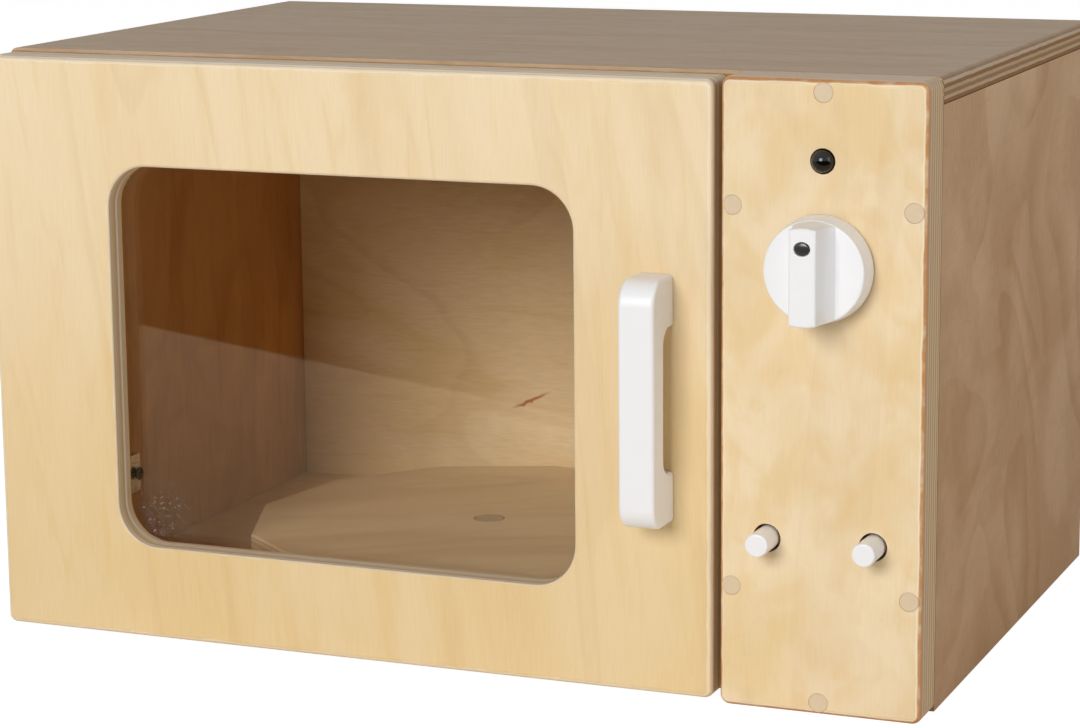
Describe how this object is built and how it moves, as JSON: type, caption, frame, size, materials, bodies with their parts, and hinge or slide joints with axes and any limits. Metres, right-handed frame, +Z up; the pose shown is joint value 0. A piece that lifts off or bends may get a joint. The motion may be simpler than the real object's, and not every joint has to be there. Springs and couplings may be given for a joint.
{
  "type": "toy microwave",
  "caption": "Wooden play microwave: plywood case, windowed door on concealed hinges, bar handle, turning knob, sprung buttons and a turntable",
  "frame": {"origin": "middle of the underside of the case, on the bottom panel's lower face", "axes": "+X to the right seen from the front, +Y to the rear, +Z up"},
  "size_m": [0.36, 0.2708, 0.22],
  "materials": {
    "birch_ply": "clear-varnished birch plywood",
    "plug_wood": "end-grain plug",
    "acrylic": "clear acrylic sheet",
    "white_plastic": "satin moulded plastic",
    "black_plastic": "polished",
    "nickel": "nickel-plated pressed steel",
    "zinc": "zinc-plated steel",
    "dark_screw": "black-oxide screw"
  },
  "bodies": {
    "root": {"top_panel": "birch_ply", "bottom_panel": "birch_ply", "left_side_panel": "birch_ply", "right_side_panel": "birch_ply", "back_panel": "birch_ply", "divider_panel": "birch_ply", "control_panel": "birch_ply", "panel_plug_1": "plug_wood", "panel_plug_2": "plug_wood", "panel_plug_3": "plug_wood", "panel_plug_4": "plug_wood", "panel_plug_5": "plug_wood", "panel_plug_6": "plug_wood", "panel_screw_1": "zinc", "panel_screw_2": "zinc", "panel_screw_3": "zinc", "panel_screw_4": "zinc", "panel_screw_5": "zinc", "panel_screw_6": "zinc", "indicator_dome": "black_plastic", "button_rail": "birch_ply", "left_button_spring": "nickel", "right_button_spring": "nickel", "lower_hinge_arm": "nickel", "upper_hinge_arm": "nickel", "lower_hinge_plate": "zinc", "upper_hinge_plate": "zinc", "lower_plate_screw_front": "zinc", "upper_plate_screw_front": "zinc", "lower_plate_screw_rear": "zinc", "upper_plate_screw_rear": "zinc", "lower_arm_screw": "dark_screw", "upper_arm_screw": "dark_screw", "turntable_screw": "zinc", "turntable_spacer": "plug_wood"},
    "outer_links": {"lower_outer_link": "nickel", "upper_outer_link": "nickel"},
    "inner_links": {"lower_inner_link": "nickel", "upper_inner_link": "nickel"},
    "door": {"door_panel": "birch_ply", "window_pane": "acrylic", "pane_screw_1": "zinc", "pane_screw_2": "zinc", "pane_screw_3": "zinc", "pane_screw_4": "zinc", "door_handle": "white_plastic", "lower_handle_screw": "zinc", "upper_handle_screw": "zinc", "lower_hinge_cup": "nickel", "upper_hinge_cup": "nickel"},
    "knob": {"control_knob": "white_plastic", "knob_marker": "black_plastic", "knob_spindle": "zinc", "knob_washer": "zinc", "knob_screw": "zinc"},
    "left_button": {"left_button": "white_plastic"},
    "right_button": {"right_button": "white_plastic"},
    "turntable": {"turntable": "birch_ply", "turntable_plug": "plug_wood"}
  },
  "joints": [
    {"name": "outer_link_swing", "type": "hinge", "parent": "root", "child": "outer_links", "pos_m": [-0.14807, -0.1037, 0.11], "axis": [0, 0, 1], "range_deg": [0, 46]},
    {"name": "door_swing", "type": "hinge", "parent": "outer_links", "child": "door", "pos_m": [-0.16887, -0.1109, 0.11], "axis": [0, 0, -1], "range_deg": [0, 146]},
    {"name": "inner_link_swing", "type": "hinge", "parent": "root", "child": "inner_links", "pos_m": [-0.14657, -0.1129, 0.11], "axis": [0, 0, 1], "range_deg": [0, 50]},
    {"name": "knob_turn", "type": "hinge", "parent": "root", "child": "knob", "pos_m": [0.14375, -0.124, 0.1564], "axis": [0, -1, 0], "continuous": true},
    {"name": "left_button_press", "type": "slide", "parent": "root", "child": "left_button", "axis": [0, 1, 0], "range_m": [0, 0.008], "stiffness_N_per_m": 150, "springref_m": -0.004, "deforming": ["left_button_spring"]},
    {"name": "right_button_press", "type": "slide", "parent": "root", "child": "right_button", "axis": [0, 1, 0], "range_m": [0, 0.008], "stiffness_N_per_m": 150, "springref_m": -0.004, "deforming": ["right_button_spring"]},
    {"name": "turntable_turn", "type": "hinge", "parent": "root", "child": "turntable", "pos_m": [-0.03375, 0.00465, 0.016], "axis": [0, 0, 1], "continuous": true}
  ],
  "couplings": [
    {"joint": "outer_link_swing", "follows": "door_swing", "ratio": 0.315},
    {"joint": "inner_link_swing", "follows": "door_swing", "ratio": 0.3424}
  ]
}
